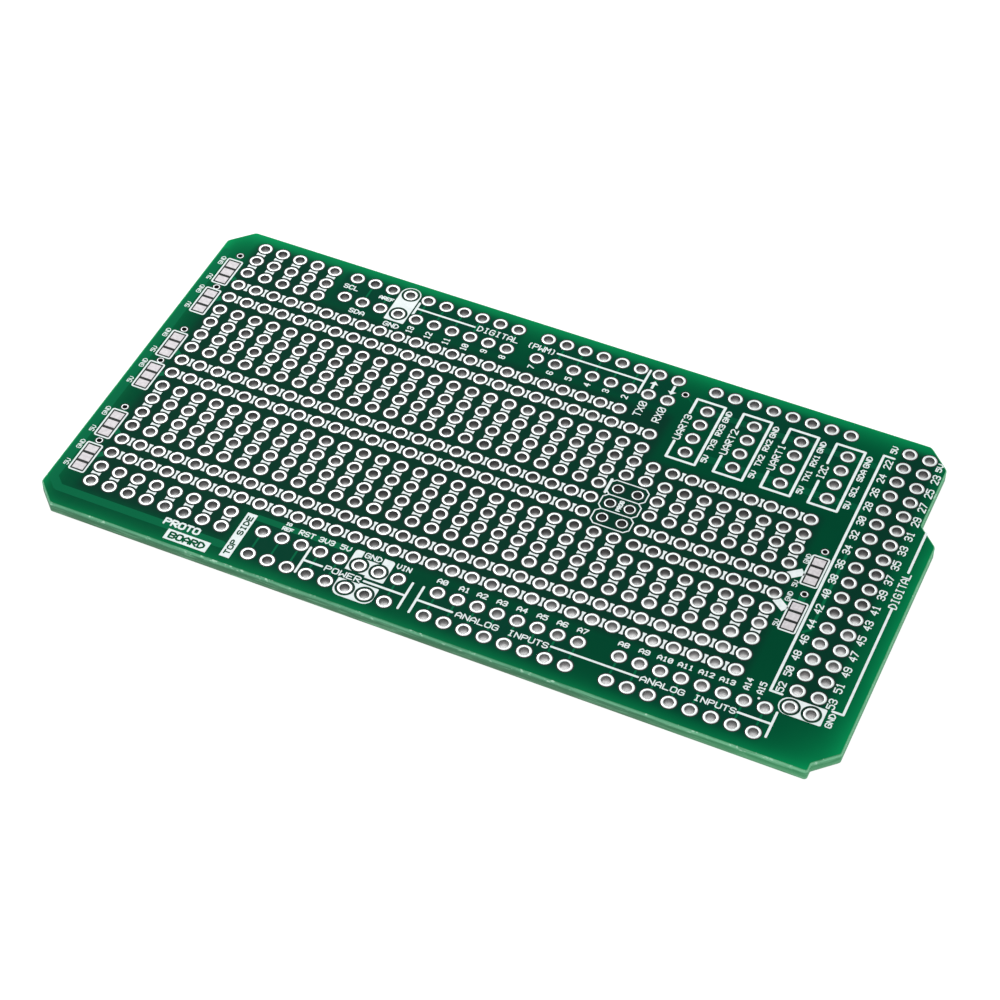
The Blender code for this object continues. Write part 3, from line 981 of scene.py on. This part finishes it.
def build_jumper_pads(material):
    """Three flat solder pads per jumper, in one piece of three little cushions."""
    low = LAMINATE_TOP + HAIR
    high = INK_TOP + CUSHION_RISE
    for name, centre, _, _ in JUMPERS:
        points = []
        faces = []
        for outline in jumper_pads(centre):
            base = len(points)
            points += [(p.x, p.y, low) for p in outline]
            points += [(p.x, p.y, high - SHOULDER_DROP) for p in inset(outline, SHOULDER_INSET)]
            points += [(p.x, p.y, high) for p in inset(outline, CUSHION_INSET)]
            faces += faces_between(base, base + 4, 4) + faces_between(base + 4, base + 8, 4)
            faces.append([base + 8 + i for i in range(4)])
            faces.append([base + i for i in range(4)][::-1])
        add_mesh("pads_jumper_" + name, material, points, faces, ("jumper_" + name,))


# ---- printed legend
# bars between joined pads, and widths of the frames' lines, in pitches
LINK_LENGTH = 0.19
LINK_WIDTH_LEVEL = 0.52
LINK_WIDTH_UPRIGHT = 0.46
FRAME_LINE = 0.135
JUMPER_LINE = 0.08
JUMPER_FRAME_ROUNDING = 0.12
# openings round the pads: radius in a white field, margin round the pad in the lettering (mm)
BLOCK_CLEARANCE = 0.482 * PITCH
LETTER_CLEARANCE = 0.18


def print_ink(name, material, solids, cuts=(), stands_for=()):
    plate(name, material, solids, cuts, MASK_TOP - HAIR, INK_TOP, stands_for)


def build_links(material):
    """White bars between the pads that the copper joins."""
    bars = []
    for _, row, first, columns in RAILS:
        for i in range(columns - 1):
            centre = (GRID_LEFT + first + i + 0.5, row)
            bars.append(box_round(centre, (LINK_LENGTH, LINK_WIDTH_LEVEL)))
    for _, blocks in STRIPS:
        for column, top, bottom in strip_spans(blocks):
            for row in range(bottom, top):
                bars.append(box_round((column, row + 0.5), (LINK_WIDTH_UPRIGHT, LINK_LENGTH)))
    print_ink("ink_links", material, bars, circles(ALL_PADS, INK_CLEARANCE))


def build_jumper_frames(material):
    for name, (x, y), _, _ in JUMPERS:
        wide, high = JUMPER_FRAME[0] / 2, JUMPER_FRAME[1] / 2
        frame_corners = corners(x - wide, y - high, x + wide, y + high)
        outer = rounded([(corner, JUMPER_FRAME_ROUNDING * PITCH) for corner in frame_corners])
        print_ink(
            "ink_jumper_" + name, material, [outer], [inset(outer, JUMPER_LINE * PITCH)],
            ("frame_jumper_" + name,),
        )


def build_connector_frames(material):
    for node, left, right, (gap_low, gap_high), _, _ in CONNECTORS:
        edge = [
            (left, gap_low), (left, CONNECTOR_BOTTOM), (right, CONNECTOR_BOTTOM),
            (right, CONNECTOR_TOP), (left, CONNECTOR_TOP), (left, gap_high),
        ]
        shift = FRAME_LINE / 2
        inside = [(x + shift if x == left else x - shift, y) for x, y in edge]
        print_ink("ink_" + node, material, path(inside, FRAME_LINE), (), (node,))


# connector lettering: column, length and height of each name, and its row; column of each
# connector's pin labels, row and length of the label of each pin, and their height
CONNECTOR_NAMES = ((26.37, 1.80, 0.39), (28.80, 1.80, 0.39), (31.23, 1.80, 0.39), (33.58, 0.90, 0.40))
CONNECTOR_NAME_ROW = 17.12
CONNECTOR_PIN_COLUMNS = (28.13, 30.57, 33.00, 35.36)
CONNECTOR_PIN_ROWS = ((18.655, 0.81), (17.68, 0.83), (16.57, 0.81), (15.57, 0.52))
CONNECTOR_PIN_HEIGHT = 0.31
# jumper lettering: columns at the left and right, stroke, and (length, height) of the two labels
JUMPER_TEXT_LEFT = 0.48
JUMPER_TEXT_RIGHT = 34.79
JUMPER_TEXT_STROKE = 0.040
GROUND_LABEL = (0.62, 0.26)
SUPPLY_LABEL = (0.40, 0.26)


def connector_lettering():
    outlines = []
    places = zip(CONNECTORS, CONNECTOR_NAMES, CONNECTOR_PIN_COLUMNS)
    for (_, _, _, _, name, pins), (column, length, height), pin_column in places:
        outlines += lettering(name, (column, CONNECTOR_NAME_ROW), length, height, upright=True)
        for pin, (row, pin_length) in zip(pins, CONNECTOR_PIN_ROWS):
            place = (pin_column, row)
            outlines += lettering(pin, place, pin_length, CONNECTOR_PIN_HEIGHT, upright=True)
    return outlines


def jumper_lettering():
    outlines = []
    for name, (_, y), _, (ground, supply) in JUMPERS:
        column = JUMPER_TEXT_RIGHT if name.startswith("right") else JUMPER_TEXT_LEFT
        for text, row, size in (("GND", y + ground, GROUND_LABEL), ("5V", y + supply, SUPPLY_LABEL)):
            outlines += lettering(text, (column, row), *size, upright=True, weight=JUMPER_TEXT_STROKE)
    return outlines


# arrows beside the first two data pins: column, row of the tail, row of the tip
ARROWS = ((24.03, 18.95, 19.47), (25.03, 19.55, 18.93))
ARROW_HEAD = 0.22
ARROW_SHAFT = 0.13


def arrow(column, tail, tip):
    """Upright arrow from tail to tip."""
    head = ARROW_HEAD if tip > tail else -ARROW_HEAD
    outlines = path([(column, tail), (column, tip - head)], ARROW_SHAFT)
    outlines.append([at(column - head, tip - head), at(column + head, tip - head), at(column, tip)])
    return outlines


# lines round the pin pairs of the programming header: sides, half height, corner cut, width
PAIR_LEFT = 24.62
PAIR_RIGHT = 26.58
PAIR_HALF_HEIGHT = 0.50
PAIR_CUT = 0.22
PAIR_LINE = 0.062
PAIR_ROWS = (10, 11, 12)
FIRST_PIN_BAR = ((24.61, 11.55), (24.61, 12.45))
FIRST_PIN_LINE = 0.14


def programming_outlines():
    """Chamfered lines round the three pin pairs of the programming header, and its first-pin bar."""
    outlines = path(FIRST_PIN_BAR, FIRST_PIN_LINE)
    left, right = PAIR_LEFT, PAIR_RIGHT
    near, far = left + PAIR_CUT, right - PAIR_CUT
    for row in PAIR_ROWS:
        low, high = row - PAIR_HALF_HEIGHT, row + PAIR_HALF_HEIGHT
        outlines += path([
            (near, low), (far, low), (right, low + PAIR_CUT), (right, high - PAIR_CUT), (far, high),
            (near, high), (left, high - PAIR_CUT), (left, low + PAIR_CUT), (near, low),
        ], PAIR_LINE)
    return outlines


# oblique bars from the two right jumpers to their rails: start, end, width
OBLIQUE_BARS = (
    ((34.26, 10.22), (34.91, 10.75), 0.42), ((34.30, 8.69), (34.90, 8.24), 0.40),
)
# printed dot at the last analog label
DOT = (35.61, 2.88)
DOT_RADIUS = 0.16


def build_legend(material):
    """Lettering and lines."""
    solids = connector_lettering() + jumper_lettering()
    for text, *centre, length, height in LEVEL_TEXT:
        solids += lettering(text, centre, length, height)
    for text, *centre, length, height in UPRIGHT_TEXT:
        solids += lettering(text, centre, length, height, upright=True)
    for *ends, width in LINES:
        solids += path([ends[:2], ends[2:]], width)
    for column, tail, tip in ARROWS:
        solids += arrow(column, tail, tip)
    solids += [flat_bar(*bar) for bar in OBLIQUE_BARS]
    solids.append(circle(at(*DOT), DOT_RADIUS))
    print_ink("ink_legend", material, solids, openings(LETTER_CLEARANCE))
    print_ink("ink_programming", material, programming_outlines())


# white fields behind ground pins: piece, edges, rounding of the corners in mm (lower left, lower
# right, upper right, upper left), pads, notches for text
GROUND_FIELDS = (
    (
        "ink_ground_digital", (9.865, 17.91, 10.95, 20.52), (0.15, 0.15, 1.30, 1.30),
        ((10.41, 20.0), (10.41, 18.5)), (),
    ),
    (
        "ink_ground_power_inner", (15.52, 1.93, 17.54, 3.36), (0.15, 0.15, 0.40, 0.40),
        ((16.05, 2.5), (17.05, 2.5)), ((15.95, 2.95, 16.98, 3.50), (15.40, 1.80, 16.58, 2.05)),
    ),
    (
        "ink_ground_power_edge", (15.52, 0.45, 17.54, 1.55), (1.10, 1.10, 0.15, 0.15),
        ((16.05, 1.0), (17.05, 1.0)), ((15.40, 1.47, 16.55, 1.70),),
    ),
    (
        "ink_ground_double_row", (36.50, 2.51, 38.63, 3.52), (1.20, 0.20, 0.20, 1.20),
        ((37.04, 3.0), (38.04, 3.0)), (),
    ),
)
# white plates under the name and under the marking of the side: edges
NAME_PLATE = (6.97, 0.20, 9.20, 0.84)
SIDE_PLATE = (9.86, 0.35, 10.38, 3.29)


def build_blocks(material):
    """White fields behind the ground pins, and the board's name and side plates."""
    for name, edges, radii, pads, notches in GROUND_FIELDS:
        field = rounded(list(zip(corners(*edges), radii)))
        cuts = circles(pads, BLOCK_CLEARANCE) + [box(*notch) for notch in notches]
        print_ink(name, material, [field], cuts)
    print_ink("ink_name", material, lettering("PROTO", (7.47, 1.21), 1.90, 0.44, weight=0.10))
    print_ink(
        "ink_name_plate", material, [box(*NAME_PLATE)],
        lettering("BOARD", (8.085, 0.52), 1.90, 0.44, weight=0.105),
    )
    print_ink(
        "ink_side_plate", material, [box(*SIDE_PLATE)],
        lettering("TOP SIDE", (10.12, 1.82), 2.60, 0.32, upright=True, weight=0.075),
    )


# ---- stage
CAMERA_AZIMUTH = math.radians(23.162)
CAMERA_ELEVATION = math.radians(47.376)
CAMERA_ROLL = math.radians(1.217)
CAMERA_DISTANCE = 0.32589
CAMERA_TARGET = Vector((0.000231, -0.002416, 0.0))
LENS = 96.94
SENSOR = 36.0
CAMERA_SHIFT = (-0.00025, 0.00045)


def build_camera():
    camera = new_object("camera", bpy.data.cameras.new("camera"))
    level = math.cos(CAMERA_ELEVATION)
    across = math.sin(CAMERA_AZIMUTH) * level
    back = -math.cos(CAMERA_AZIMUTH) * level
    direction = Vector((across, back, math.sin(CAMERA_ELEVATION)))
    camera.location = CAMERA_TARGET + direction * CAMERA_DISTANCE
    aim = (-direction).to_track_quat("-Z", "Y").to_matrix().to_4x4()
    camera.rotation_euler = (aim @ Matrix.Rotation(CAMERA_ROLL, 4, "Z")).to_euler()
    camera.data.lens = LENS
    camera.data.sensor_width = SENSOR
    camera.data.shift_x, camera.data.shift_y = CAMERA_SHIFT
    camera.data.clip_start = 0.01
    camera.data.clip_end = 20.0
    bpy.context.scene.camera = camera


# white table: half its side and its height in metres, and light of its own in place of a shadow
FLOOR_HALF = 3.0
FLOOR_LEVEL = -0.00002
FLOOR_GLOW = 0.90


def build_floor():
    mesh = bpy.data.meshes.new("floor")
    outline = corners(-FLOOR_HALF, -FLOOR_HALF, FLOOR_HALF, FLOOR_HALF)
    mesh.from_pydata([(x, y, FLOOR_LEVEL) for x, y in outline], [], [(0, 1, 2, 3)])
    shading = Shading("floor")
    shade = shading.noise(2.0, 1.0)
    greys = ((0.25, 0.25, 0.25, 1.0), (0.27, 0.27, 0.27, 1.0))
    white = shading.mix(shading.between(shade, 0.3, 0.7), *greys)
    shading.shader.inputs["Emission Color"].default_value = (1.0, 1.0, 1.0, 1.0)
    shading.shader.inputs["Emission Strength"].default_value = FLOOR_GLOW
    mesh.materials.append(shading.finish(white, 0.9, specular=0.0))
    new_object("floor", mesh)


LAMP_PLACE = Vector((-0.20, 0.22, 0.38))
LAMP_SIZE = 0.26
LAMP_WATTS = 1.75
SKY_LEVEL = 0.78


def build_lights():
    """One round lamp behind the board at the left, and an even white sky."""
    lamp = bpy.data.lights.new("upper_left", "AREA")
    lamp.shape = "DISK"
    lamp.size = LAMP_SIZE
    lamp.energy = LAMP_WATTS
    holder = new_object("upper_left", lamp)
    holder.location = LAMP_PLACE
    holder.rotation_euler = (-LAMP_PLACE).to_track_quat("-Z", "Y").to_euler()
    world = bpy.data.worlds.new("studio")
    world.use_nodes = True
    background = world.node_tree.nodes["Background"]
    background.inputs["Color"].default_value = (1.0, 1.0, 1.0, 1.0)
    background.inputs["Strength"].default_value = SKY_LEVEL
    bpy.context.scene.world = world
    bpy.context.scene.view_settings.view_transform = "Standard"


def main():
    mask = mask_material()
    bands = band_material("solder_mask_over_copper", COPPER_COVER)
    faint_bands = band_material("solder_mask_over_thin_copper", THIN_COPPER_COVER)
    ink = ink_material()
    tin = tin_material("tinned_copper", OPEN_HOLE_SHADE)
    narrow_tin = tin_material("tinned_narrow_holes", NARROW_HOLE_SHADE)
    jumper_tin = jumper_tin_material()
    build_laminate()
    build_mask(mask)
    build_bands(bands, faint_bands)
    build_pads(tin, narrow_tin)
    build_jumper_pads(jumper_tin)
    build_links(ink)
    build_jumper_frames(ink)
    build_connector_frames(ink)
    build_legend(ink)
    build_blocks(ink)
    build_camera()
    build_floor()
    build_lights()


main()
